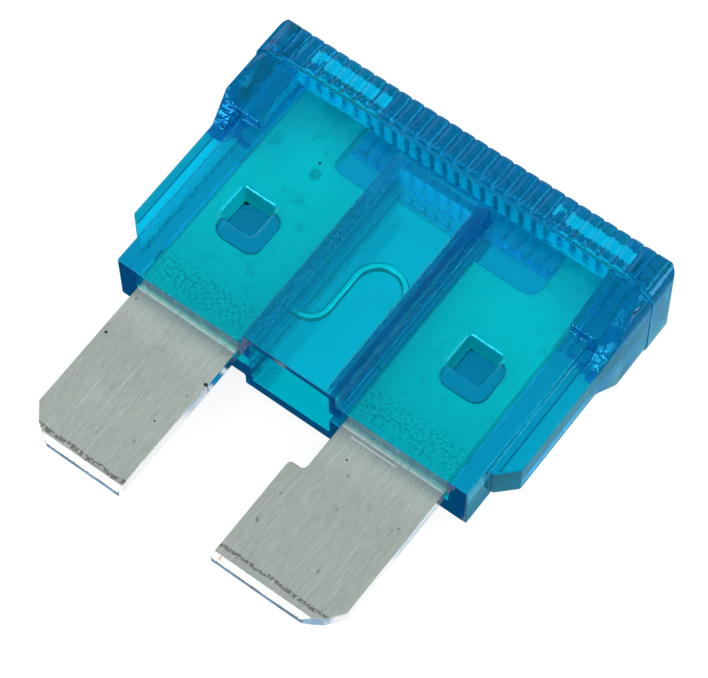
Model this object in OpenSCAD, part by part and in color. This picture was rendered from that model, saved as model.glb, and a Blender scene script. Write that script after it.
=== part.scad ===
// Automotive blade fuse: one clear moulded housing around one stamped metal element.
// It lies flat: X across the width, Y along the blades towards the head, Z through the thickness.
// The origin is under the middle of the fuse, on the surface that it lies on.

/* [Head] */
// Thickness of the head over its ribs
head_t = 5.05; // [4.2:0.05:6.5]
// How far each end of the head stands out past the rails
head_over = 0.25; // [0.1:0.05:0.6]
// Length of the head along the blades
head_l = 1.75; // [1.5:0.05:3]
// Radius of the head's two far corners, seen from the front
head_corner_r = 0.5; // [0.1:0.05:1]
// Rounding of the head's long far edges
head_edge_r = 0.3; // [0.2:0.05:0.6]
// Rounding of the edges that run along the two ends of the head and down the ears
head_end_r = 0.85; // [0.2:0.05:1]
// Distance from one grip rib to the next
rib_pitch = 0.612; // [0.5:0.004:1]
// Height of a grip rib over its valleys
rib_h = 0.12; // [0.05:0.01:0.2]
// Smooth strip between the body and the ends of the ribs
rib_band = 0.18; // [0.1:0.01:0.5]
// Length of the rounded end of a rib
rib_nose = 0.25; // [0.1:0.01:0.4]
// Least width left smooth beside the last rib
rib_margin = 0.95; // [0.6:0.05:2]

/* [Body] */
// Length of the body from its open end to the head
body_l = 10.42; // [8.68:0.02:13]
// Plastic beside the outer edge of each blade
body_wall = 0.88; // [0.5:0.02:1.4]
// Thickness of the flat part of the body
body_t = 2.7; // [2.2:0.05:3.3]

/* [Rails and ears] */
// How far each rail stands out from the side of the body
rail_out = 0.95; // [0.8:0.05:1.5]
// Thickness of a rail
rail_t = 1.7; // [1:0.05:2]
// Height of a rail's lower end over the body's open end
rail_foot = 1.45; // [0.8:0.05:3]
// Slope cut from the outer corner of a rail's lower end
rail_cut = 0.75; // [0.3:0.05:1]
// How far the face of an ear lies under the face of the head
ear_drop = 0.125; // [0.05:0.025:0.3]
// How far the side of an ear lies inside the end of the head
ear_inset = 0.03; // [0.02:0.01:0.1]
// How far that face falls before it starts to run down to its rail
ear_fall = 0.35; // [0.1:0.05:0.45]
// Distance from the head to the place where an ear starts to run down
ear_l = 1.8; // [1:0.05:2.6]
// Distance from there to the rail
ear_run = 1.45; // [0.8:0.05:2.4]
// Distance from the head to the step at the foot of an ear's thick part
ear_step = 2.55; // [1.9:0.05:3.1]
// How far an ear reaches in over the flat part of the body
ear_in = 0.9; // [0.4:0.05:1.2]
// Width of the outer wall of an ear, which runs down to the rail
ear_wall = 0.6; // [0.4:0.05:0.9]

/* [Chamber] */
// Outer width of the raised chamber over the fuse link
chamber_w = 4.5; // [4:0.1:5]
// Outer thickness of the chamber
chamber_t = 4.1; // [3.6:0.05:4.3]
// Side walls of the chamber
chamber_side = 0.4; // [0.3:0.05:0.6]
// Front wall of the chamber
chamber_front = 0.4; // [0.3:0.05:0.7]
// Back wall of the chamber
chamber_back = 0.7; // [0.3:0.05:0.9]
// Gap between the head and the end of the raised chamber
chamber_end = 0.4; // [0.2:0.05:1]
// Solid left between the top of the hollow and the head
hollow_end = 0.8; // [0.5:0.05:1.5]

/* [Test slots] */
// Length of each test slot in the end of the head
test_l = 3.65; // [2.5:0.05:4.2]
// Width of a test slot
test_w = 1.6; // [1:0.05:2.2]
// Depth of a test slot
test_d = 0.62; // [0.3:0.02:1]
// How far the outer end of a test slot lies past the outer edge of its blade
test_over = 0.5; // [0.2:0.05:0.9]

/* [Stakes] */
// Width of the square stake pocket at the face of the body
stake_w = 1.58; // [1.2:0.02:1.9]
// Width of the floor of the stake pocket
stake_floor_w = 1.28; // [0.8:0.02:1.5]
// Distance from the open end to the middle of a stake pocket
stake_y = 4.75; // [4:0.05:7]
// Distance from the outer edge of a blade to the middle of its stake pocket, before the shift
stake_edge = 1.9; // [1.6:0.05:2.6]
// How far both stake pockets are shifted to the left
stake_shift = 0.17; // [0:0.01:0.25]

/* [Element] */
// Thickness of the sheet that the element is stamped from
sheet_t = 0.65; // [0.5:0.01:0.8]
// Width over the outer edges of the two blades
blades_w = 14.7; // [13.5:0.1:18]
// Gap between the inner edges of the two blades
blades_gap = 5.1; // [4.3:0.1:5.8]
// Length of the blades outside the body
blade_out = 7.32; // [6:0.02:9]
// Extra width of the wide blade's free end
blade_step = 0.7; // [0.3:0.05:1]
// Distance from the body to the step of the wide blade
blade_step_y = 2.42; // [1.5:0.02:3]
// Radius of the corners at that step
blade_step_r = 0.2; // [0.1:0.05:0.3]
// Corner cut from the outer side of a blade's tip, across the blade
tip_cut_x = 1.3; // [0.6:0.05:1.6]
// The same cut, along the blade
tip_cut_y = 1.2; // [0.6:0.05:1.6]
// Bulge of that cut past a straight line
tip_bulge = 0.1; // [0:0.01:0.2]
// Length of the bevel on both faces of a blade's tip
bevel_l = 0.24; // [0.1:0.02:0.7]
// Thickness left at the end of the bevel
bevel_t = 0.34; // [0.2:0.02:0.5]
// Length of the narrow top of each blade
top_l = 2.98; // [2:0.02:3.5]
// Width of the narrow top of the left blade
top_w_left = 2.95; // [1.5:0.05:3.2]
// Width of the narrow top of the right blade
top_w_right = 1.95; // [1.5:0.05:3.2]
// Radius in the corner of the shoulder
shoulder_r = 0.5; // [0.2:0.05:1]
// Width of the hole that the stake fills
hole_w = 2.1; // [1.7:0.02:2.3]
// Distance from the open end to the middle of that hole
hole_y = 4.45; // [4:0.05:7]
// Distance from the outer edge of a blade to the middle of its hole
hole_edge = 1.95; // [1.6:0.05:2.6]
// Corner radius of that hole
hole_r = 0.55; // [0.3:0.05:0.7]

/* [Link] */
// Width of the fuse link
link_w = 0.32; // [0.2:0.02:0.5]
// Thickness of the fuse link
link_t = 0.34; // [0.2:0.02:0.5]
// Distance from the open end to the link's two feet
link_y = 2.77; // [2:0.01:4]
// Distance between the link's two legs
link_legs = 2.16; // [1.6:0.02:2.3]
// Offset of the loop from the middle of the fuse
link_x = 0.22; // [0:0.01:0.3]
// Height of the legs between the foot bends and the top loop
link_rise = 1.75; // [1:0.05:3]
// Radius of the left foot's bend
link_foot_r = 0.85; // [0.5:0.05:1]
// Radius of the right foot's bend
link_heel_r = 0.75; // [0.5:0.05:1]

/* [Fits] */
// Clearance between the sheet and each face of its slot
face_gap = 0.025; // [0.01:0.005:0.06]
// Clearance at the edges of the sheet
edge_gap = 0.12; // [0.05:0.01:0.2]
// Clearance around a stake in its hole
stake_gap = 0.05; // [0.02:0.01:0.1]

/* [Hidden] */
$fn = 64;
// Extra reach of every cut past the face that it opens
past = 1;
// Length from the open end of the body to the far end of the head
reach = body_l + head_l;
// The slot that holds the sheet
slot_t = sheet_t + 2 * face_gap;
slot_w = blades_w + 2 * edge_gap;
slot_top = reach - test_d;
// Width of the body between its rails, over its rails and over the head
body_w = slot_w + 2 * body_wall;
rails_w = body_w + 2 * rail_out;
head_w = rails_w + 2 * head_over;
// Ribs that fit between the two smooth ends, and the radii across and along a rib
rib_count = floor((head_w - 2 * rib_margin) / rib_pitch);
rib_r = (pow(rib_pitch / 2, 2) + pow(rib_h, 2)) / (2 * rib_h);
nose_r = (pow(rib_nose, 2) + pow(rib_h, 2)) / (2 * rib_h);
rib_span = rib_count * rib_pitch;
// Thickness of an ear at the head, and where it starts to run down
ear_top_t = head_t - 2 * ear_drop;
ear_low_t = ear_top_t - 2 * ear_fall;
// Distance from the middle to the side of an ear, and the places where it runs down to its rail
ear_side = head_w / 2 - ear_inset;
ear_low = body_l - ear_l;
ear_foot = ear_low - ear_run;
// The hollow around the link
hollow_w = chamber_w - 2 * chamber_side;
hollow_front = chamber_t / 2 - chamber_front;
hollow_back = chamber_t / 2 - chamber_back;
// The blades end just under the floors of the test slots
blade_top = slot_top - edge_gap;
shoulder_y = blade_top - top_l;
// Middles of the stake pockets, of the holes under them and of the test slots
stake_x = blades_w / 2 - stake_edge;
hole_x = blades_w / 2 - hole_edge;
test_x = blades_w / 2 + test_over - test_l / 2;
// The loop joins the two legs of the link
loop_r = link_legs / 2;
leg_top = link_y + max(link_foot_r, link_heel_r) + link_rise;

// Places a solid that is drawn about the middle plane, with y = 0 at the open end of the body
module lay_flat() {
    translate([0, (blade_out - reach) / 2, head_t / 2])
        children();
}

// An outline in Y and Z, drawn out to a width that is centred on X
module across(width) {
    rotate([90, 0, 90])
        linear_extrude(height = width, center = true)
            children();
}

// An outline in X and Y, drawn out to a thickness that is centred on Z
module through(thickness) {
    linear_extrude(height = thickness, center = true)
        children();
}

// An outline in X and Z, drawn out along Y from one place to another
module along(from, to) {
    translate([0, to, 0])
        rotate([90, 0, 0])
            linear_extrude(height = to - from)
                children();
}

// A rectangle between two corners
module corners(low, high) {
    translate(low)
        square(high - low);
}

// A rectangle with round corners between two corners
module round_corners(low, high, r) {
    corners([low.x + r, low.y], [high.x - r, high.y]);
    corners([low.x, low.y + r], [high.x, high.y - r]);
    for (x = [low.x + r, high.x - r], y = [low.y + r, high.y - r])
        translate([x, y])
            circle(r);
}

// What is given, and its mirror image on the other side of the width
module both_sides() {
    children();
    mirror([1, 0, 0])
        children();
}

// The round crests of a row of grip ribs, whose tops touch a line
module crests(line) {
    for (i = [0 : rib_count - 1])
        translate([(i + 0.5) * rib_pitch - rib_span / 2, line - rib_r])
            circle(rib_r);
}

// Section of the ribbed part of the head: a slab with crests on both faces
module ribbed_section() {
    square([rib_span, head_t - 2 * rib_h], center = true);
    crests(head_t / 2);
    mirror([0, 1])
        crests(head_t / 2);
}

// Outline of the head from the front: the ribs go on over its far end, between two smooth ends
module head_outline() {
    corners([-head_w / 2, body_l], [head_w / 2, reach - head_corner_r]);
    corners([-rib_span / 2, body_l], [rib_span / 2, reach - rib_h]);
    crests(reach);
    both_sides() {
        corners([rib_span / 2, body_l], [head_w / 2 - head_corner_r, reach]);
        translate([head_w / 2 - head_corner_r, reach - head_corner_r])
            circle(head_corner_r);
    }
}

// Outline of the head from the side, round at its far edges
module head_profile() {
    corners([body_l, -head_t / 2], [reach - head_edge_r, head_t / 2]);
    corners([body_l, -head_t / 2 + head_edge_r], [reach, head_t / 2 - head_edge_r]);
    for (side = [-1, 1])
        translate([reach - head_edge_r, side * (head_t / 2 - head_edge_r)])
            circle(head_edge_r);
}

// Section with round edges along both ends, for the head and the ears
module round_section(w, t) {
    far = [w / 2, t / 2];
    round_corners(-far, far, head_end_r);
}

// Side view of the ribs, with their rounded ends
module rib_end_profile() {
    start = body_l + rib_band;
    full = start + rib_nose;
    level = head_t / 2 - rib_h;
    corners([full, -head_t / 2], [reach, head_t / 2]);
    corners([start, -level], [full, level]);
    intersection() {
        corners([start, -head_t / 2], [full, head_t / 2]);
        for (side = [-1, 1])
            translate([full, side * (head_t / 2 - nose_r)])
                circle(nose_r);
    }
}

// The grip bar at the far end
module head() {
    intersection() {
        union() {
            intersection() {
                along(body_l, reach)
                    ribbed_section();
                across(rib_span)
                    rib_end_profile();
            }
            translate([0, body_l + rib_band / 2, 0])
                cube([head_w, rib_band, head_t], center = true);
            both_sides()
                translate([rib_span / 2, body_l, -head_t / 2])
                    cube([(head_w - rib_span) / 2, head_l, head_t]);
            translate([0, body_l + head_l / 2, 0])
                cube([rib_span, head_l, head_t - 2 * rib_h], center = true);
        }
        through(head_t)
            head_outline();
        across(head_w)
            head_profile();
        along(body_l, reach)
            round_section(head_w, head_t);
    }
}

// Side view of an ear's outer wall, down to the rail
module ear_profile() {
    polygon([
        [body_l, ear_top_t / 2],
        [ear_low, ear_low_t / 2],
        [ear_foot, rail_t / 2],
        [ear_foot, -rail_t / 2],
        [ear_low, -ear_low_t / 2],
        [body_l, -ear_top_t / 2]
    ]);
}

// Outline of an ear from the front: its side draws in to the side of the rail
module ear_outline() {
    polygon([
        [0, ear_foot],
        [rails_w / 2, ear_foot],
        [ear_side, ear_low],
        [ear_side, body_l],
        [0, body_l]
    ]);
}

// Side view of the thick part of an ear, which ends in a step
module ear_block_profile() {
    step = body_l - ear_step;
    step_t = ear_top_t - 2 * ear_fall * ear_step / ear_l;
    polygon([
        [body_l, ear_top_t / 2],
        [step, step_t / 2],
        [step, -step_t / 2],
        [body_l, -ear_top_t / 2]
    ]);
}

// The ear under one end of the head
module ear() {
    wall = rails_w / 2 - ear_wall;
    inner = body_w / 2 - ear_in;
    intersection() {
        union() {
            translate([(ear_side + wall) / 2, 0, 0])
                across(ear_side - wall)
                    ear_profile();
            translate([(wall + inner) / 2, 0, 0])
                across(wall - inner)
                    ear_block_profile();
        }
        through(ear_top_t)
            ear_outline();
        along(0, body_l)
            round_section(2 * ear_side, ear_top_t);
    }
}

// The guide rail along one side of the body
module rail() {
    side = body_w / 2;
    outer = rails_w / 2;
    through(rail_t)
        polygon([
            [side, rail_foot],
            [outer - rail_cut, rail_foot],
            [outer, rail_foot + rail_cut],
            [outer, body_l],
            [side, body_l]
        ]);
}

// Flat part of the body with its raised chamber
module body() {
    translate([-body_w / 2, 0, -body_t / 2])
        cube([body_w, body_l, body_t]);
    translate([-chamber_w / 2, 0, -chamber_t / 2])
        cube([chamber_w, body_l - chamber_end, chamber_t]);
}

// The slot for the sheet, the hollow around the link and the test slots
module hollows() {
    translate([-slot_w / 2, -past, -slot_t / 2])
        cube([slot_w, slot_top + past, slot_t]);
    translate([-hollow_w / 2, -past, -hollow_back])
        cube([hollow_w, body_l - hollow_end + past, hollow_back + hollow_front]);
    both_sides()
        translate([test_x - test_l / 2, slot_top, -test_w / 2])
            cube([test_l, test_d + past, test_w]);
}

// One tapered stake pocket, open at the front of the body
module stake_pocket() {
    depth = (body_t - slot_t) / 2;
    spread = (stake_w - stake_floor_w) / 2 / depth;
    mouth = stake_floor_w / 2 + spread * (depth + past);
    taper = [
        [-stake_floor_w / 2, slot_t / 2],
        [stake_floor_w / 2, slot_t / 2],
        [mouth, body_t / 2 + past],
        [-mouth, body_t / 2 + past]
    ];
    intersection() {
        along(-mouth, mouth)
            polygon(taper);
        across(2 * mouth)
            polygon(taper);
    }
}

// Outline of the stake that fills the hole in a blade
module stake_outline(w) {
    round_corners([-w / 2, -w / 2], [w / 2, w / 2], hole_r);
}

// What is given, at both stake pockets
module at_stakes() {
    for (side = [-1, 1])
        translate([side * stake_x - stake_shift, stake_y, 0])
            children();
}

// What is given, at both holes
module at_holes() {
    for (side = [-1, 1])
        translate([side * hole_x, hole_y, 0])
            children();
}

// The one-piece clear moulding
module housing() {
    color([0, 0.55, 0.75, 0.6])
        lay_flat() {
            difference() {
                union() {
                    head();
                    body();
                    both_sides() {
                        ear();
                        rail();
                    }
                }
                hollows();
                at_stakes()
                    stake_pocket();
            }
            at_holes()
                through(slot_t)
                    stake_outline(hole_w - 2 * stake_gap);
        }
}

// Outline of the part of a blade inside the body, for the right-hand side
module blade_inside(top_w) {
    outer = blades_w / 2;
    inner = blades_gap / 2;
    neck = outer - top_w;
    difference() {
        corners([inner, 0], [outer, blade_top]);
        corners([inner - past, shoulder_y + shoulder_r], [neck, blade_top + past]);
        corners([inner - past, shoulder_y], [neck - shoulder_r, blade_top + past]);
        translate([neck - shoulder_r, shoulder_y + shoulder_r])
            circle(shoulder_r);
        translate([hole_x, hole_y])
            stake_outline(hole_w);
    }
}

// Outline of the part of a blade outside the body, for the right-hand side
module blade_outside(step) {
    outer = blades_w / 2;
    inner = blades_gap / 2;
    r = blade_step_r;
    difference() {
        union() {
            corners([inner, -blade_out], [outer, 0]);
            if (step > 0) {
                corners([inner - step + r, -blade_out], [inner, -blade_step_y]);
                corners([inner - step, -blade_out], [inner, -blade_step_y - r]);
                translate([inner - step + r, -blade_step_y - r])
                    circle(r);
                difference() {
                    corners([inner - r, -blade_step_y], [inner, -blade_step_y + r]);
                    translate([inner - r, -blade_step_y + r])
                        circle(r);
                }
            }
        }
        translate([outer, -blade_out])
            polygon([
                [past, tip_cut_y],
                [0, tip_cut_y],
                [-tip_cut_x / 2 + tip_bulge, tip_cut_y / 2 - tip_bulge],
                [-tip_cut_x, 0],
                [-tip_cut_x, -past],
                [past, -past]
            ]);
    }
}

// Side view of the sheet, bevelled at the tips of the blades
module sheet_profile() {
    polygon([
        [blade_top, sheet_t / 2],
        [bevel_l - blade_out, sheet_t / 2],
        [-blade_out, bevel_t / 2],
        [-blade_out, -bevel_t / 2],
        [bevel_l - blade_out, -sheet_t / 2],
        [blade_top, -sheet_t / 2]
    ]);
}

// A quarter of a ring about a centre, in the quadrant given by two signs
module quarter_ring(centre, r, quadrant) {
    translate(centre)
        intersection() {
            difference() {
                circle(r + link_w / 2);
                circle(r - link_w / 2);
            }
            scale([quadrant.x, quadrant.y])
                square(2 * r);
        }
}

// Outline of the fuse link: two feet, two legs and a round loop
module link_outline() {
    half = link_w / 2;
    left = link_x - loop_r;
    right = link_x + loop_r;
    foot = left - link_foot_r;
    heel = right + link_heel_r;
    corners([-blades_gap / 2, link_y - half], [foot, link_y + half]);
    quarter_ring([foot, link_y + link_foot_r], link_foot_r, [1, -1]);
    corners([left - half, link_y + link_foot_r], [left + half, leg_top]);
    quarter_ring([link_x, leg_top], loop_r, [-1, 1]);
    quarter_ring([link_x, leg_top], loop_r, [1, 1]);
    corners([right - half, link_y + link_heel_r], [right + half, leg_top]);
    quarter_ring([heel, link_y + link_heel_r], link_heel_r, [-1, -1]);
    corners([heel, link_y - half], [blades_gap / 2, link_y + half]);
}

// The stamped element: two blades joined by the link
module fuse_element() {
    color([0.7, 0.73, 0.7])
        lay_flat() {
            intersection() {
                through(sheet_t) {
                    blade_inside(top_w_right);
                    blade_outside(blade_step);
                    mirror([1, 0]) {
                        blade_inside(top_w_left);
                        blade_outside(0);
                    }
                }
                across(head_w)
                    sheet_profile();
            }
            through(link_t)
                link_outline();
        }
}

housing();
fuse_element();
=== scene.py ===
import math

import bmesh
import bpy
import numpy as np
from bpy.props import FloatProperty, FloatVectorProperty, PointerProperty
from mathutils import Matrix, Vector
from mathutils.bvhtree import BVHTree


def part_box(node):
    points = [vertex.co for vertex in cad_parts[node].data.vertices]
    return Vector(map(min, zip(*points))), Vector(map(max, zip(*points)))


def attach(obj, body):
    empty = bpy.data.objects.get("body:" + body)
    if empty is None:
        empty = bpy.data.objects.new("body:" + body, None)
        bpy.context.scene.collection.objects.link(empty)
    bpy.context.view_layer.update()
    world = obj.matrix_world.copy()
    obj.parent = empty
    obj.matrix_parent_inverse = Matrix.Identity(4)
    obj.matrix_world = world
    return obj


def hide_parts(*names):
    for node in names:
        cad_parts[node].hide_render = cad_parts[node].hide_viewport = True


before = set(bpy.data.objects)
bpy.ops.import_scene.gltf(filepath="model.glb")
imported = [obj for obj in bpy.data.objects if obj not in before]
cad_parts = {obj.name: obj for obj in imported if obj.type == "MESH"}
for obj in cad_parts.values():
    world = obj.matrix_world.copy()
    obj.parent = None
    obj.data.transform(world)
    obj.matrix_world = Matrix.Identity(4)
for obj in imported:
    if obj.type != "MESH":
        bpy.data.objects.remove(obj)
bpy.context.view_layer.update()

bl_info = {
    "name": "Automotive Blade Fuse",
    "version": (1, 0, 0),
    "blender": (4, 5, 0),
    "location": "View3D > Sidebar > Blade Fuse",
    "description": "Builds a clear moulded blade fuse with its stamped element, lights and camera",
    "category": "Add Mesh",
}

MM = 0.001
HOUSING_LOW, HOUSING_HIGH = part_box("housing")
ELEMENT_LOW, ELEMENT_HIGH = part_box("fuse_element")
MIDDLE_Z = (ELEMENT_LOW.z + ELEMENT_HIGH.z) / 2

# Where the open end of the body, the head and the body's upper face are
OPEN_END = -2.425 * MM
HEAD_START = 7.995 * MM
RIBS_START = HOUSING_HIGH.y - 1.65 * MM
BODY_FACE = HOUSING_HIGH.z - 1.175 * MM
EARS_INSIDE = 7 * MM

# Middles of the two stake pockets, which sit a little to the left, and how far their rims reach
STAKE_X = 5.45 * MM
STAKE_Y = 2.325 * MM
STAKE_SHIFT = 0.17 * MM
STAKE_REACH = 0.85 * MM

# The gap over each face of the sheet, and the sheet's straight edges inside the housing
FACE_GAP = 0.025 * MM
SHEET_LINES_X = [x * MM for x in (-7.35, -4.4, -2.55, 2.55, 5.4, 7.35)]
SHEET_LINES_Y = [y * MM for y in (6.025, 9.005)]

# Edges sharper than this are rounded, in this many steps, and take up to this share of the
# shortest edge beside them. Edges that turn less than the last value go on in line.
SHARP_ANGLE = math.radians(30)
ROUNDING_STEPS = 3
ROOM_SHARE = 0.4
IN_LINE = 0.8

# How far apart two places may be and still count as one
SAME_POINT = 1e-3 * MM


# ---------------------------------------------------------------- settings


class CameraSettings(bpy.types.PropertyGroup):
    azimuth: FloatProperty(
        name="Azimuth", description="Turn of the camera from the front towards the right side",
        default=math.radians(38.016), subtype="ANGLE", unit="ROTATION",
    )
    elevation: FloatProperty(
        name="Elevation", description="Angle of the camera over the surface",
        default=math.radians(63.311), subtype="ANGLE", unit="ROTATION",
    )
    roll: FloatProperty(
        name="Roll", description="Turn of the camera about its own axis",
        default=math.radians(-1.373), subtype="ANGLE", unit="ROTATION",
    )
    distance: FloatProperty(
        name="Distance", description="Distance from the camera to the point it looks at",
        default=128.092 * MM, subtype="DISTANCE", unit="LENGTH",
    )
    target: FloatVectorProperty(
        name="Target", description="Point that the camera looks at",
        default=(0.654 * MM, 0.806 * MM, 2.525 * MM), subtype="XYZ_LENGTH", unit="LENGTH",
    )
    lens: FloatProperty(
        name="Lens", description="Focal length of the camera", default=168.906, unit="CAMERA",
    )


class HousingSettings(bpy.types.PropertyGroup):
    haze_colour: FloatVectorProperty(
        name="Haze colour", description="Colour of the faint haze on the surface of the plastic",
        default=(0.0, 0.94, 1.0), subtype="COLOR", min=0, max=1,
    )
    clearness: FloatProperty(
        name="Clearness", description="Share of the light that goes on through the surface",
        default=0.93, min=0, max=1, subtype="FACTOR",
    )
    mirror_tint: FloatVectorProperty(
        name="Mirror tint", description="Tint of what the surface mirrors",
        default=(0.025, 0.5, 0.8), subtype="COLOR", min=0, max=1,
    )
    # Painted shade: this colour and the end colour darken the plastic's surface by place
    painted_shade_colour: FloatVectorProperty(
        name="Deep colour",
        description="Colour of the surface in the thick ends, the stakes and the link's right wall",
        default=(0.0, 0.30, 0.52), subtype="COLOR", min=0, max=1,
    )
    # Painted shade on the end face that the blades come out of
    end_shade_colour: FloatVectorProperty(
        name="End colour", description="Colour of the end face that the blades come out of",
        default=(0.0, 0.12, 0.45), subtype="COLOR", min=0, max=1,
    )
    tint: FloatVectorProperty(
        name="Tint", description="Colour that the clear plastic lets through",
        default=(0.0, 0.930, 0.978), subtype="COLOR", min=0, max=1,
    )
    tint_depth: FloatProperty(
        name="Tint depth", description="How strongly a metre of the plastic takes in light",
        default=5000.0,
    )
    edge_round: FloatProperty(
        name="Edge rounding", description="Width of the rounding on the moulding's main edges",
        default=0.07 * MM, subtype="DISTANCE", unit="LENGTH",
    )
    stake_round: FloatProperty(
        name="Stake rounding", description="Width of the rounding on the rims of the stakes",
        default=0.24 * MM, subtype="DISTANCE", unit="LENGTH",
    )
    rib_round: FloatProperty(
        name="Rib rounding",
        description="Width of the rounding on the ends and valleys of the grip ribs",
        default=0.03 * MM, subtype="DISTANCE", unit="LENGTH",
    )


class ElementSettings(bpy.types.PropertyGroup):
    bare_colour: FloatVectorProperty(
        name="Bare blade colour", description="Colour of the plating on the bare blades",
        default=(0.29, 0.332, 0.306), subtype="COLOR", min=0, max=1,
    )
    # Painted light: the covered colour is far lighter than the bare plating, standing in for light
    # that the plastic takes
    covered_colour: FloatVectorProperty(
        name="Covered colour", description="Colour of the fresh plating under the plastic",
        default=(0.96, 1.0, 0.66), subtype="COLOR", min=0, max=1,
    )
    edge_round: FloatProperty(
        name="Edge rounding", description="Width of the rounding on the sheet's cut edges",
        default=0.05 * MM, subtype="DISTANCE", unit="LENGTH",
    )
    link_round: FloatProperty(
        name="Link rounding", description="Width of the rounding on the fuse link",
        default=0.12 * MM, subtype="DISTANCE", unit="LENGTH",
    )


class StageSettings(bpy.types.PropertyGroup):
    floor_size: FloatProperty(
        name="Floor size", description="Side of the square floor",
        default=0.8, subtype="DISTANCE", unit="LENGTH",
    )
    floor_colour: FloatVectorProperty(
        name="Floor colour", description="Colour of the pale floor",
        default=(0.6, 0.6, 0.6), subtype="COLOR", min=0, max=1,
    )
    backdrop_colour: FloatVectorProperty(
        name="Backdrop colour",
        description="Colour of the floor where the camera sees it, which keeps a soft shadow",
        default=(0.25, 0.25, 0.25), subtype="COLOR", min=0, max=1,
    )
    backdrop_glow: FloatProperty(
        name="Backdrop glow", description="White that is added where the camera sees the floor",
        default=0.82,
    )
    mirrored_glow: FloatVectorProperty(
        name="Mirrored glow",
        description="Light where the open floor beside the blades is mirrored",
        default=(1.2, 1.2, 1.2), subtype="COLOR", min=0, max=2,
    )
    shaded_glow: FloatVectorProperty(
        name="Shaded glow", description="Light where the floor in front of the housing is mirrored",
        default=(0.0, 0.28, 0.6), subtype="COLOR", min=0, max=2,
    )
    side_glow: FloatVectorProperty(
        name="Side glow",
        description="Light where the floor to the right of the housing is mirrored",
        default=(0.28, 0.7, 0.87), subtype="COLOR", min=0, max=2,
    )
    through_glow: FloatProperty(
        name="Glow through plastic",
        description="White where the shaded floor shows through plastic", default=0.54,
    )
    open_glow: FloatProperty(
        name="Open glow",
        description="White where the open floor shows through plastic", default=1.0,
    )
    dome: FloatProperty(
        name="Dome strength", description="Strength of the dome and all its lamps", default=1.0,
    )
    sky: FloatProperty(
        name="Sky", description="Level of the plain light from all round", default=1.2,
    )
    side_lamp: FloatProperty(
        name="Side lamp", description="Strength of the wide soft lamp on the right", default=1.2,
    )
    front_lamp: FloatProperty(
        name="Front lamp", description="Strength of the soft lamp over the front", default=4.0,
    )
    right_lamp: FloatProperty(
        name="Right lamp", description="Strength of the small lamp over the right side",
        default=6.0,
    )
    low_front_lamp: FloatProperty(
        name="Low front lamp", description="Strength of the small lamp low in front", default=22.0,
    )
    left_lamp: FloatProperty(
        name="Left lamp", description="Strength of the small lamp behind the left side",
        default=3.0,
    )
    low_right_lamp: FloatProperty(
        name="Low right lamp",
        description="Strength of the small lamp low behind the right side", default=8.0,
    )


GROUPS = {
    "fuse_camera": CameraSettings,
    "fuse_housing": HousingSettings,
    "fuse_element": ElementSettings,
    "fuse_stage": StageSettings,
}


# ---------------------------------------------------------------- node helpers


class Graph:
    """A node tree with short ways to add nodes and join their sockets."""

    def __init__(self, tree):
        self.tree = tree
        tree.nodes.clear()

    def add(self, kind, inputs=None, **fields):
        node = self.tree.nodes.new(kind)
        for field, value in fields.items():
            setattr(node, field, value)
        for key, value in (inputs or {}).items():
            self.give(node.inputs[key], value)
        return node

    def give(self, socket, value):
        if isinstance(value, bpy.types.NodeSocket):
            self.tree.links.new(value, socket)
        else:
            socket.default_value = value

    def math(self, operation, *values, clamp=False):
        node = self.add("ShaderNodeMath", operation=operation, use_clamp=clamp)
        for socket, value in zip(node.inputs, values):
            self.give(socket, value)
        return node.outputs[0]

    def vector(self, operation, *values):
        node = self.add("ShaderNodeVectorMath", operation=operation)
        for socket, value in zip(node.inputs, values):
            self.give(socket, value)
        return node.outputs["Value" if operation in {"DOT_PRODUCT", "DISTANCE"} else "Vector"]

    def axes(self):
        """The place on the piece, split into its three axes."""
        place = self.add("ShaderNodeTexCoord").outputs["Object"]
        return self.add("ShaderNodeSeparateXYZ", {0: place}).outputs[:]

    def band(self, value, low, high, soft):
        """1 between two places given in millimetres, falling to 0 over a soft edge outside them."""
        rise = self.ramp(value, (low - soft) * MM, low * MM)
        fall = self.ramp(value, high * MM, (high + soft) * MM, 1.0, 0.0)
        return self.math("MULTIPLY", rise, fall)

    def spots(self, places, wobble):
        """1 inside round marks, each given as x, y and radius in millimetres, with uneven edges."""
        place = self.add("ShaderNodeTexCoord").outputs["Object"]
        flat = self.vector("MULTIPLY", place, (1, 1, 0))
        total = 0.0
        for x, y, radius in places:
            away = self.vector("DISTANCE", flat, (x * MM, y * MM, 0))
            away = self.math("MULTIPLY_ADD", wobble, radius * MM, away)
            spot = self.ramp(away, radius * 1.2 * MM, radius * 1.7 * MM, 1.0, 0.0)
            total = self.math("MAXIMUM", total, spot)
        return total

    def noise(self, scale, detail=2.0, roughness=0.5):
        """Noise whose grains are 1/scale metres across, given per axis."""
        place = self.add("ShaderNodeTexCoord").outputs["Object"]
        scaled = self.add("ShaderNodeMapping", {"Vector": place, "Scale": scale}).outputs[0]
        node = self.add("ShaderNodeTexNoise", {
            "Vector": scaled, "Scale": 1.0, "Detail": detail, "Roughness": roughness,
        })
        return node.outputs["Fac"]

    def ramp(self, value, low, high, to_low=0.0, to_high=1.0, smooth=False):
        """A value taken from one range to another, and held at the ends."""
        limits = {
            "Value": value, "From Min": low, "From Max": high, "To Min": to_low, "To Max": to_high,
        }
        kind = "SMOOTHSTEP" if smooth else "LINEAR"
        return self.add("ShaderNodeMapRange", limits, interpolation_type=kind).outputs[0]

    def blend(self, factor, first, second, how="MIX"):
        node = self.add("ShaderNodeMix", data_type="RGBA", blend_type=how)
        self.give(node.inputs["Factor"], factor)
        self.give(node.inputs[6], first)
        self.give(node.inputs[7], second)
        return node.outputs[2]

    def bump(self, height, distance, strength):
        values = {"Height": height, "Distance": distance, "Strength": strength}
        return self.add("ShaderNodeBump", values).outputs[0]


def rgba(colour):
    return (*colour, 1.0)


# ---------------------------------------------------------------- materials


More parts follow.
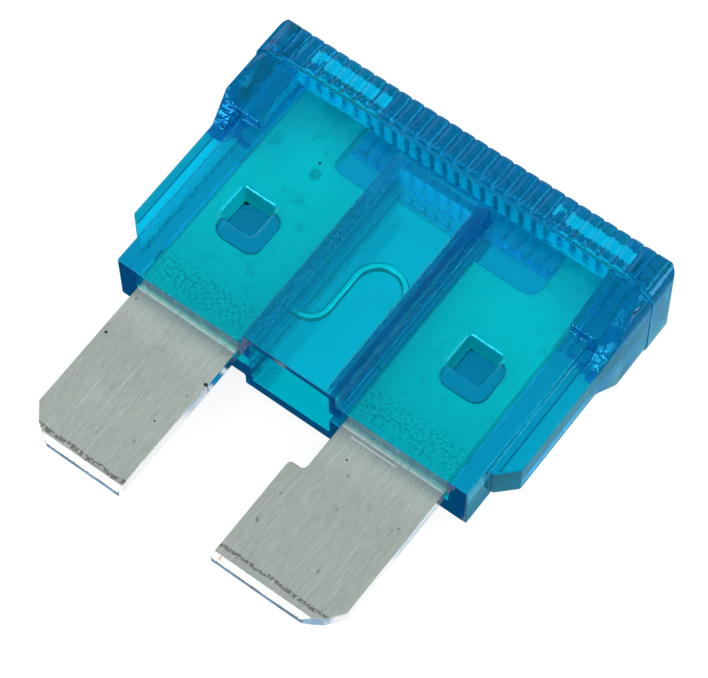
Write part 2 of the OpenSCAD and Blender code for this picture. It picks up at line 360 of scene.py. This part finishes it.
def clear_plastic(settings):
    """Clear tinted moulding compound: smooth, with faint waves and a fine grain on worn places, and
    painted shade on its surface by place.
    """
    material = bpy.data.materials.new("clear_blue_plastic")
    material.use_nodes = True
    g = Graph(material.node_tree)
    waves = g.noise((700, 700, 700), 2.0)
    grain = g.noise((4500, 4500, 4500), 2.0, 0.6)
    x, y, z = g.axes()
    side = g.math("ABSOLUTE", x)
    seam = g.band(y, 7.6, 8.0, 0.12)
    chamber_walls = g.math("MULTIPLY", g.band(side, 1.75, 2.35, 0.08), g.band(y, -2.0, 7.4, 0.5))
    rail_walls = g.math("MULTIPLY", g.band(side, 7.75, 8.25, 0.1), g.band(y, -2.0, 5.2, 0.5))
    ears = g.math("MULTIPLY", g.band(side, 7.4, 9.6, 0.1), g.band(y, 4.6, 7.9, 0.2))
    rough = g.math("MAXIMUM", g.math("MAXIMUM", seam, ears), g.math("MULTIPLY", chamber_walls, 3.5))
    rough = g.math("MAXIMUM", rough, rail_walls)
    height = g.math("ADD", g.math("MULTIPLY", rough, grain), g.math("MULTIPLY", waves, 0.6))
    # Tool marks run along the grip and down the end over the blades, and a bubble sits in the wall
    head = g.ramp(y, 7.95 * MM, 8.1 * MM)
    open_end = g.ramp(y, OPEN_END + 0.01 * MM, OPEN_END + 0.03 * MM, 1.0, 0.0)
    tool_marks = g.math("MULTIPLY", g.noise((9000, 500, 9000), 2.0), 0.3)
    height = g.math("MULTIPLY_ADD", head, tool_marks, height)
    height = g.math("MULTIPLY_ADD", open_end, g.noise((6000, 6000, 600), 2.0), height)
    height = g.math("MULTIPLY_ADD", g.spots([(2.2, 5.38, 0.07)], grain), 2.0, height)
    normal = g.bump(height, 0.03 * MM, 0.8)
    # Painted shade: the surface colour is made deeper in the thick ends, in the stakes, in the wall
    # to the right of the link, and along the left side of the chamber
    right_wall = g.math("MULTIPLY", chamber_walls, g.ramp(x, 0.0, 1 * MM))
    stakes = g.math("MULTIPLY", g.band(side, 4.3, 6.5, 0.02), g.band(y, 0.93, 3.12, 0.02))
    stakes = g.math("MULTIPLY", stakes, g.ramp(z, 2.9 * MM, 2.92 * MM, 0.55, 0.0))
    under = g.math("MULTIPLY", g.band(side, 4.3, 6.5, 0.1), g.band(y, 0.9, 3.4, 0.1))
    under = g.math("MULTIPLY", under, g.ramp(z, 1.2 * MM, 1.25 * MM, 0.7, 0.0))
    stakes = g.math("MAXIMUM", stakes, under)
    ends = g.math("MULTIPLY", g.math("MAXIMUM", head, ears), 0.32)
    painted_shade = g.math("MAXIMUM", g.math("MAXIMUM", ends, stakes), g.math("MULTIPLY", right_wall, 0.9))
    # Painted shadow along the left side of the chamber
    left_side = g.math("MULTIPLY", g.band(x, -1.85, -1.4, 0.3), g.band(y, -2.3, 6.5, 0.5))
    painted_shade = g.math("MAXIMUM", painted_shade, g.math("MULTIPLY", left_side, 0.4))
    # Painted shade on the end over the blades too, lighter in streaks where the blades leave it
    streaks = g.ramp(g.noise((5000, 300, 200), 2.0), 0.4, 0.6, 0.1, 0.6)
    over_sheet = g.math("MULTIPLY", g.band(side, 2.5, 7.4, 0.05), g.ramp(z, 2.8 * MM, 2.85 * MM))
    end = g.math("MULTIPLY", open_end, g.blend(over_sheet, (1, 1, 1, 1), streaks))
    surface = g.blend(painted_shade, rgba(settings.haze_colour), rgba(settings.painted_shade_colour))
    surface = g.blend(end, surface, rgba(settings.end_shade_colour))
    # The wall left of the link is scuffed, so it scatters light
    scuffed = g.math("MULTIPLY", g.band(x, -2.36, -1.95, 0.05), g.band(y, -2.3, 7.2, 0.4))
    patches = g.ramp(g.noise((1500, 500, 1500), 2.0), 0.4, 0.6, 0.3, 1.0)
    scuffed = g.math("MULTIPLY", scuffed, patches)
    roughness = g.ramp(scuffed, 0.0, 1.0, 0.03, 0.2)
    shell = g.add("ShaderNodeBsdfPrincipled", {
        "Base Color": surface, "Roughness": roughness, "IOR": 1.5,
        "Transmission Weight": settings.clearness,
        "Specular Tint": rgba(settings.mirror_tint), "Normal": normal,
    })
    inside = g.add("ShaderNodeVolumeAbsorption", {
        "Color": rgba(settings.tint), "Density": settings.tint_depth,
    })
    out = g.add("ShaderNodeOutputMaterial")
    g.give(out.inputs["Surface"], shell.outputs[0])
    g.give(out.inputs["Volume"], inside.outputs[0])
    return material


def pressed_plastic():
    """The faces of the moulding that lie tight on the sheet, with no air left to bend the light."""
    material = bpy.data.materials.new("pressed_plastic")
    material.use_nodes = True
    g = Graph(material.node_tree)
    shell = g.add("ShaderNodeBsdfPrincipled", {
        "Base Color": (1, 1, 1, 1), "Roughness": 0.0, "IOR": 1.0, "Transmission Weight": 1.0,
    })
    out = g.add("ShaderNodeOutputMaterial")
    g.give(out.inputs["Surface"], shell.outputs[0])
    return material


def plated_zinc(settings):
    """Plated sheet drawn along the blades, with streaks, pits and dirt, and painted light and shade
    in places.

    The tips have a coined line and a bevel with a painted highlight, and the cut edges are bright."""
    material = bpy.data.materials.new("plated_zinc")
    material.use_nodes = True
    g = Graph(material.node_tree)
    x, y, z = g.axes()
    streaks = g.noise((9000, 400, 9000), 3.0, 0.6)
    broad = g.noise((500, 300, 500), 2.0)
    cloud = g.noise((900, 900, 900), 4.0, 0.65)
    fine = g.noise((7000, 7000, 7000), 2.0)
    covered = g.ramp(y, OPEN_END - 0.05 * MM, OPEN_END + 0.05 * MM)
    bare = g.math("SUBTRACT", 1.0, covered)

    # Fresh plating under the plastic, painted much lighter than the bare blades in place of the
    # light that the plastic takes; lighter towards the head and mottled near the open end
    colour = g.blend(covered, rgba(settings.bare_colour), rgba(settings.covered_colour))
    lift = g.ramp(y, -2.4 * MM, 6 * MM, 0.72, 1.08)
    shade = g.ramp(g.math("ADD", streaks, g.math("MULTIPLY", broad, 0.6)), 0.5, 1.1, 0.90, 1.04)
    shaded = g.blend(covered, shade, g.math("MULTIPLY", shade, lift))
    colour = g.blend(1.0, colour, shaded, "MULTIPLY")
    mottled = g.math("MULTIPLY", g.band(y, -1.7, -0.9, 0.5), g.ramp(fine, 0.48, 0.6))
    blotches = g.math("MULTIPLY", covered, g.ramp(cloud, 0.58, 0.74, 0.0, 0.35))
    dull_and_shade = g.math("MAXIMUM", g.math("MULTIPLY", mottled, 0.5), blotches)
    # Painted shade: the covered plating darkens in clouds under the head
    shade_under_head = g.ramp(cloud, 0.35, 0.6, 0.15, 0.6)
    shade_under_head = g.math("MULTIPLY", g.ramp(y, 7.0 * MM, 8.6 * MM), shade_under_head)
    side = g.math("ABSOLUTE", x)
    # Painted shade: a dark outline along the covered sheet's outer edges and its edges beside the
    # chamber walls
    rims = g.math("MAXIMUM", g.ramp(side, 7.2 * MM, 7.26 * MM), g.band(side, 2.4, 2.64, 0.05))
    rims = g.math("MULTIPLY", g.math("MULTIPLY", rims, covered), 0.5)
    dull_and_shade = g.math("MAXIMUM", dull_and_shade, g.math("MAXIMUM", shade_under_head, rims))

    # Marks on the bare blades, with painted highlights on the tip bevel and along the open end
    line_y = g.math("MULTIPLY_ADD", g.math("SUBTRACT", cloud, 0.5), 0.35 * MM, y)
    line_y = g.math("SUBTRACT", line_y, g.ramp(x, -1 * MM, 1 * MM, 0.0, 0.2 * MM))
    coined = g.math("MULTIPLY", g.band(line_y, -9.40, -9.27, 0.04), g.ramp(fine, 0.38, 0.5))
    bevel = g.band(y, -9.66, -9.51, 0.02)
    pits = g.math("MULTIPLY", bare, g.ramp(g.noise((2600, 1800, 2600), 2.0), 0.70, 0.74, 0.0, 0.6))
    # Painted highlight: a bright dashed line across the blades just outside the open end
    open_end_highlight = g.math("MULTIPLY", g.band(y, -2.53, -2.48, 0.02), g.ramp(fine, 0.3, 0.45))
    second = g.math("MULTIPLY", g.band(y, -2.73, -2.70, 0.02), g.band(x, 3.2, 5.2, 0.1))
    bright = g.math("MULTIPLY", g.math("MAXIMUM", open_end_highlight, second), 0.8)
    tip = g.ramp(y, -9.71 * MM, -9.67 * MM, 1.0, 0.0)
    dirt = g.spots([
        (-2.63, -4.26, 0.09), (-7.11, -4.76, 0.06), (-4.85, 5.92, 0.07), (4.41, 6.14, 0.06),
        (-3.25, -6.62, 0.05), (3.6, -3.58, 0.05), (-6.25, 2.97, 0.14), (4.63, 2.97, 0.1),
    ], fine)
    smudge = g.math("MULTIPLY", g.spots([(-4.67, 5.4, 0.25), (3.98, 6.14, 0.12)], cloud), 0.4)
    stain = g.spots([
        (-5.1, -3.3, 0.3), (-5.0, -4.0, 0.25), (-4.6, -3.2, 0.12), (-4.9, -8.3, 0.1),
    ], fine)
    stain = g.math("MULTIPLY", stain, g.ramp(cloud, 0.35, 0.65, 0.0, 0.3))
    grain = g.ramp(g.noise((16000, 1800, 16000), 3.0, 0.7), 0.3, 0.7, 0.88, 1.12)
    hairs = g.ramp(g.noise((15000, 220, 15000), 1.0), 0.66, 0.74, 0.0, 0.16)
    hairs = g.math("MULTIPLY", bare, hairs)
    rust = g.math("MULTIPLY", g.spots([(-2.35, -9.5, 0.14), (2.2, -9.6, 0.1)], fine), 0.7)

    # Painted light: the bare sheet is made lighter next to the housing
    lighter = g.ramp(y, -4.6 * MM, -2.5 * MM, 1.0, 1.3)
    colour = g.blend(bare, colour, g.math("MULTIPLY", grain, lighter), "MULTIPLY")
    # Mottling, blotches and stains, together with the painted shade, take one darker colour
    colour = g.blend(g.math("MAXIMUM", dull_and_shade, stain), colour, (0.10, 0.20, 0.18, 1))
    pitted = g.math("MAXIMUM", pits, g.math("MULTIPLY", coined, 0.85))
    colour = g.blend(pitted, colour, (0.10, 0.10, 0.09, 1))
    # The painted highlight, the short bright line on the right blade and the hair lines are near
    # white
    colour = g.blend(g.math("MAXIMUM", bright, hairs), colour, (0.85, 0.86, 0.85, 1))
    normal = g.add("ShaderNodeNewGeometry").outputs["Normal"]
    upright = g.add("ShaderNodeSeparateXYZ", {0: normal}).outputs["Z"]
    cut = g.math("MULTIPLY", bare, g.ramp(g.math("ABSOLUTE", upright), 0.3, 0.6, 1.0, 0.0))
    colour = g.blend(g.math("MULTIPLY", cut, 0.85), colour, (0.80, 0.81, 0.80, 1))
    # Painted highlight: the tip bevel is made near white
    colour = g.blend(g.math("MULTIPLY", bevel, 0.9), colour, (0.84, 0.84, 0.83, 1))
    worn_tip = g.blend(g.ramp(cloud, 0.4, 0.6), (0.22, 0.23, 0.22, 1), (0.55, 0.56, 0.55, 1))
    colour = g.blend(tip, colour, worn_tip)
    colour = g.blend(rust, colour, (0.30, 0.14, 0.07, 1))
    colour = g.blend(g.math("MAXIMUM", dirt, smudge), colour, (0.02, 0.03, 0.03, 1))

    # The link is drawn thinner and smoother than the blades, and its colour is painted light on
    # faces that look up and painted shade on its sides
    link = g.math("MULTIPLY", g.band(side, 0.0, 2.4, 0.1), g.band(y, 0.0, 4.4, 0.1))
    link_light_and_shade = g.blend(g.ramp(upright, 0.72, 0.97), (0.04, 0.09, 0.08, 1), (0.55, 0.72, 0.62, 1))
    colour = g.blend(link, colour, link_light_and_shade)
    uneven = g.math("ADD", broad, g.math("MULTIPLY", streaks, 0.4))
    roughness = g.ramp(uneven, 0.5, 0.9, 0.42, 0.50)
    for smoother, change in ((bevel, -0.24), (link, -0.25), (cut, -0.25)):
        roughness = g.math("MULTIPLY_ADD", smoother, change, roughness)
    dents = g.math("MULTIPLY", g.math("MAXIMUM", coined, pits), 2.0)
    height = g.math("SUBTRACT", streaks, dents)
    normal = g.bump(height, 0.01 * MM, 0.4)
    shell = g.add("ShaderNodeBsdfPrincipled", {
        "Base Color": colour, "Metallic": 1.0, "Roughness": roughness, "Normal": normal,
    })
    out = g.add("ShaderNodeOutputMaterial")
    g.give(out.inputs["Surface"], shell.outputs[0])
    return material


# ---------------------------------------------------------------- pieces


def merged_solid(node):
    """The shape of a CAD node as a closed mesh with its corners merged."""
    shape = bmesh.new()
    shape.from_mesh(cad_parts[node].data)
    for layer in list(shape.loops.layers.uv):
        shape.loops.layers.uv.remove(layer)
    bmesh.ops.remove_doubles(shape, verts=shape.verts, dist=SAME_POINT)
    return shape


def make_flats_whole(shape, flat_angle=0.5):
    """Joins the triangles of each flat face, but not across a change of material."""
    bmesh.ops.dissolve_limit(
        shape, angle_limit=math.radians(flat_angle), verts=shape.verts, edges=shape.edges,
        delimit={"MATERIAL"},
    )


def mark_pressed_faces(shape):
    """Gives the second material to the slot's faces that lie on the sheet.

    The slot's faces are first cut along the sheet's straight edges."""
    levels = (ELEMENT_LOW.z - FACE_GAP, ELEMENT_HIGH.z + FACE_GAP)

    def lies_at(face, z):
        return all(abs(v.co.z - z) < SAME_POINT for v in face.verts)

    def slot_faces():
        return [f for f in shape.faces if any(lies_at(f, z) for z in levels)]

    for side, places in ((Vector((1, 0, 0)), SHEET_LINES_X), (Vector((0, 1, 0)), SHEET_LINES_Y)):
        for place in places:
            faces = slot_faces()
            edges = list({e for f in faces for e in f.edges})
            corners = list({v for f in faces for v in f.verts})
            bmesh.ops.bisect_plane(
                shape, geom=faces + edges + corners, dist=0.1 * SAME_POINT,
                plane_co=side * place, plane_no=side,
            )
    sheet = merged_solid("fuse_element")
    tree = BVHTree.FromBMesh(sheet)
    for face in slot_faces():
        towards = Vector((0, 0, 1 if face.calc_center_median().z < MIDDLE_Z else -1))
        hit = tree.ray_cast(face.calc_center_median(), towards, 2 * FACE_GAP)
        face.material_index = 1 if hit[0] is not None else 0
    sheet.free()


def finish_piece(name, shape, sharp, weights, width, materials, replaced):
    """Writes the mesh out, rounds its sharp edges by their weights, and fixes it to the frame.

    A sharp edge that isn't rounded stays crisp in the shading."""
    mesh = bpy.data.meshes.new(name)
    shape.to_mesh(mesh)
    shape.free()
    if "custom_normal" in mesh.attributes:
        mesh.attributes.remove(mesh.attributes["custom_normal"])
    mesh.shade_smooth()
    weight = mesh.attributes.new("bevel_weight_edge", "FLOAT", "EDGE")
    weight.data.foreach_set("value", weights.astype(np.float32))
    crisp = mesh.attributes.new("sharp_edge", "BOOLEAN", "EDGE")
    crisp.data.foreach_set("value", sharp & (weights == 0))
    for material in materials:
        mesh.materials.append(material)
    piece = bpy.data.objects.new(name, mesh)
    bpy.context.scene.collection.objects.link(piece)
    bevel = piece.modifiers.new("rounding", "BEVEL")
    bevel.limit_method = "WEIGHT"
    bevel.width = width
    bevel.segments = ROUNDING_STEPS
    bevel.profile = 0.5
    bevel.use_clamp_overlap = False
    bevel.harden_normals = True
    bevel.miter_outer = "MITER_ARC"
    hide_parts(replaced)
    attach(piece, "root")


def edge_facts(shape):
    """For each edge: its middle point, the angle between its faces, and the room to round it.

    The room is a share of the shortest edge that meets it in its two faces. An edge that goes
    on along it doesn't count."""
    shape.edges.index_update()
    shape.edges.ensure_lookup_table()
    middle = np.array([(e.verts[0].co + e.verts[1].co) / 2 for e in shape.edges])
    angle = np.array([e.calc_face_angle(0.0) for e in shape.edges])
    room = np.full(len(angle), 1.0)
    for edge in shape.edges:
        along = (edge.verts[1].co - edge.verts[0].co).normalized()
        for loop in edge.link_loops:
            for other in (loop.link_loop_prev.edge, loop.link_loop_next.edge):
                line = other.verts[1].co - other.verts[0].co
                if abs(line.normalized().dot(along)) < IN_LINE:
                    room[edge.index] = min(room[edge.index], ROOM_SHARE * line.length)
    return middle, angle, room


class BuildHousing(bpy.types.Operator):
    """Builds the clear moulded housing"""

    bl_idname = "blade_fuse.housing"
    bl_label = "Housing"

    def execute(self, context):
        settings = context.scene.fuse_housing
        shape = merged_solid("housing")
        mark_pressed_faces(shape)
        make_flats_whole(shape)
        middle, angle, room = edge_facts(shape)
        x, y, z = middle.T
        sharp = angle > SHARP_ANGLE
        rim = abs(z - BODY_FACE) < 0.01 * MM
        rim &= abs(abs(x + STAKE_SHIFT) - STAKE_X) < STAKE_REACH
        rim &= abs(y - STAKE_Y) < STAKE_REACH
        width = np.where(rim, settings.stake_round, settings.edge_round)
        width = np.where(y > RIBS_START, settings.rib_round, width)
        # The ears start a hair inside the head's outline, which leaves no room for rounding
        step = (abs(y - HEAD_START) < 0.05 * MM) & (abs(x) > EARS_INSIDE)
        widest = settings.stake_round
        weights = np.where(sharp & ~step, np.minimum(width, room) / widest, 0.0)
        materials = [clear_plastic(settings), pressed_plastic()]
        finish_piece("clear_housing", shape, sharp, weights, widest, materials,
                     "housing")
        return {"FINISHED"}


class BuildElement(bpy.types.Operator):
    """Builds the stamped metal element"""

    bl_idname = "blade_fuse.element"
    bl_label = "Element"

    def execute(self, context):
        settings = context.scene.fuse_element
        shape = merged_solid("fuse_element")
        make_flats_whole(shape)
        middle, angle, room = edge_facts(shape)
        x, y, _ = middle.T
        sharp = angle > SHARP_ANGLE
        link = (abs(x) < 2.5 * MM) & (y > OPEN_END)
        width = np.where(link, settings.link_round, settings.edge_round)
        widest = settings.link_round
        weights = np.where(sharp, np.minimum(width, room) / widest, 0.0)
        finish_piece("stamped_element", shape, sharp, weights, widest, [plated_zinc(settings)],
                     "fuse_element")
        return {"FINISHED"}


# ---------------------------------------------------------------- camera and stage


class SetCamera(bpy.types.Operator):
    """Sets up the camera"""

    bl_idname = "blade_fuse.camera"
    bl_label = "Camera"

    def execute(self, context):
        settings = context.scene.fuse_camera
        az, el = settings.azimuth, settings.elevation
        back = Vector((math.cos(el) * math.sin(az), -math.cos(el) * math.cos(az), math.sin(el)))
        right = Vector((0, 0, 1)).cross(back).normalized()
        up = back.cross(right)
        turn = Matrix((right, up, back)).transposed() @ Matrix.Rotation(settings.roll, 3, "Z")
        place = Vector(settings.target) + back * settings.distance
        camera = bpy.data.objects.new("camera", bpy.data.cameras.new("camera"))
        camera.data.sensor_width = 36.0
        camera.data.lens = settings.lens
        camera.data.clip_start = 1 * MM
        camera.data.clip_end = 10.0
        camera.matrix_world = Matrix.Translation(place) @ turn.to_4x4()
        context.scene.collection.objects.link(camera)
        context.scene.camera = camera
        return {"FINISHED"}


class BuildStage(bpy.types.Operator):
    """Builds the pale floor and the soft light"""

    bl_idname = "blade_fuse.stage"
    bl_label = "Stage"

    def execute(self, context):
        settings = context.scene.fuse_stage
        self.floor(settings)
        self.world(context.scene, settings)
        context.scene.view_settings.view_transform = "Standard"
        return {"FINISHED"}

    def floor(self, settings):
        half = settings.floor_size / 2
        mesh = bpy.data.meshes.new("floor")
        corners = [(-half, -half, 0), (half, -half, 0), (half, half, 0), (-half, half, 0)]
        mesh.from_pydata(corners, [], [(0, 1, 2, 3)])
        material = bpy.data.materials.new("pale_floor")
        material.use_nodes = True
        g = Graph(material.node_tree)
        path = g.add("ShaderNodeLightPath").outputs
        place = g.add("ShaderNodeTexCoord").outputs["Object"]
        across, along, _ = g.add("ShaderNodeSeparateXYZ", {0: place}).outputs[:]

        # Strips beside the blades, and the floor in front of them, are open and bright in mirrors
        left = g.band(across, -2.0, -1.55, 0.05)
        left = g.math("MULTIPLY", left, g.math("SUBTRACT", 1.0, g.band(along, -3.1, -2.5, 0.05)))
        strips = g.math("MAXIMUM", left, g.band(across, 7.9, 8.4, 0.05))
        strips = g.math("MULTIPLY", strips, g.ramp(along, -1.2 * MM, -1.0 * MM, 1.0, 0.0))
        bright = g.math("MAXIMUM", strips, g.ramp(along, -5.0 * MM, -4.4 * MM, 1.0, 0.0))
        bright = g.math("MULTIPLY", bright, g.ramp(along, -9.75 * MM, -9.7 * MM, 0.3, 1.0))
        # The floor near the housing mirrors the blue light that comes through it
        to_right = g.ramp(across, 8.2 * MM, 9.2 * MM)
        mirrored = g.blend(to_right, rgba(settings.shaded_glow), rgba(settings.side_glow))
        mirrored = g.blend(bright, mirrored, rgba(settings.mirrored_glow))
        # Out of the shade of the housing, the floor shows brighter through the plastic
        right_side = g.ramp(across, 9.2 * MM, 10 * MM)
        left_side = g.ramp(across, -9.8 * MM, -9 * MM, 1.0, 0.0)
        open_floor = g.math("MAXIMUM", right_side, left_side)
        open_floor = g.math("MAXIMUM", open_floor, g.ramp(along, 9.4 * MM, 10.2 * MM))
        through = g.ramp(open_floor, 0.0, 1.0, settings.through_glow, settings.open_glow)

        # Rays bent by the plastic count as glossy too, so they are taken out of the mirrored ones
        not_bent = g.math("SUBTRACT", 1.0, path["Is Transmission Ray"])
        reflected = g.math("MULTIPLY", path["Is Glossy Ray"], not_bent)
        colour = g.blend(path["Is Camera Ray"], rgba(settings.floor_colour),
                         rgba(settings.backdrop_colour))
        colour = g.blend(path["Is Glossy Ray"], colour, (0, 0, 0, 1))
        strength = g.math("MULTIPLY_ADD", path["Is Camera Ray"], settings.backdrop_glow, reflected)
        strength = g.math("MULTIPLY_ADD", path["Is Transmission Ray"], through, strength)
        glow_colour = g.blend(reflected, (1, 1, 1, 1), mirrored)
        matt = g.add("ShaderNodeBsdfDiffuse", {"Color": colour})
        glow = g.add("ShaderNodeEmission", {"Color": glow_colour, "Strength": strength})
        both = g.add("ShaderNodeAddShader", {0: matt.outputs[0], 1: glow.outputs[0]})
        out = g.add("ShaderNodeOutputMaterial")
        g.give(out.inputs["Surface"], both.outputs[0])
        mesh.materials.append(material)
        floor = bpy.data.objects.new("floor", mesh)
        bpy.context.scene.collection.objects.link(floor)

    def world(self, scene, settings):
        world = bpy.data.worlds.new("soft_dome")
        world.use_nodes = True
        scene.world = world
        g = Graph(world.node_tree)
        direction = g.add("ShaderNodeTexCoord").outputs["Generated"]
        mirrored = g.add("ShaderNodeLightPath").outputs["Is Glossy Ray"]
        level = settings.sky
        # Each lamp: where it is, the cosines at its edge and where it is full, its strength, and
        # whether only mirrors show it
        for heading, edge, full, strength, only_mirrored in (
            ((0.88, -0.2, 0.42), 0.75, 0.95, settings.side_lamp, False),
            ((-0.275, -0.22, 0.935), 0.988, 0.994, settings.front_lamp, False),
            ((0.62, 0.35, 0.70), 0.992, 0.996, settings.right_lamp, False),
            ((-0.74, 0.35, 0.57), 0.988, 0.993, settings.left_lamp, True),
            ((-0.28, -0.87, 0.33), 0.975, 0.987, settings.low_front_lamp, True),
            ((0.87, 0.35, 0.25), 0.98, 0.988, settings.low_right_lamp, True),
        ):
            toward = g.vector("DOT_PRODUCT", direction, Vector(heading).normalized())
            lamp = g.ramp(toward, edge, full, 0.0, strength, smooth=True)
            if only_mirrored:
                lamp = g.math("MULTIPLY", lamp, mirrored)
            level = g.math("ADD", lamp, level)
        strength = g.math("MULTIPLY", level, settings.dome)
        light = g.add("ShaderNodeBackground", {"Color": (1, 1, 1, 1), "Strength": strength})
        out = g.add("ShaderNodeOutputWorld")
        g.give(out.inputs["Surface"], light.outputs[0])


class FusePanel(bpy.types.Panel):
    """Lists the fuse's settings and its build steps"""

    bl_idname = "VIEW3D_PT_blade_fuse"
    bl_label = "Blade Fuse"
    bl_space_type = "VIEW_3D"
    bl_region_type = "UI"
    bl_category = "Blade Fuse"

    def draw(self, context):
        for name in GROUPS:
            box = self.layout.box()
            group = getattr(context.scene, name)
            for setting in group.bl_rna.properties:
                if not setting.is_readonly and setting.identifier != "name":
                    box.prop(group, setting.identifier)
        for operator in OPERATORS:
            self.layout.operator(operator.bl_idname)


OPERATORS = (SetCamera, BuildStage, BuildElement, BuildHousing)
CLASSES = (*GROUPS.values(), *OPERATORS, FusePanel)


def register():
    for cls in CLASSES:
        bpy.utils.register_class(cls)
    for name, group in GROUPS.items():
        setattr(bpy.types.Scene, name, PointerProperty(type=group))


def unregister():
    for name in GROUPS:
        delattr(bpy.types.Scene, name)
    for cls in reversed(CLASSES):
        bpy.utils.unregister_class(cls)


def main():
    register()
    bpy.ops.blade_fuse.camera()
    bpy.ops.blade_fuse.stage()
    bpy.ops.blade_fuse.element()
    bpy.ops.blade_fuse.housing()


if __name__ == "__main__":
    main()
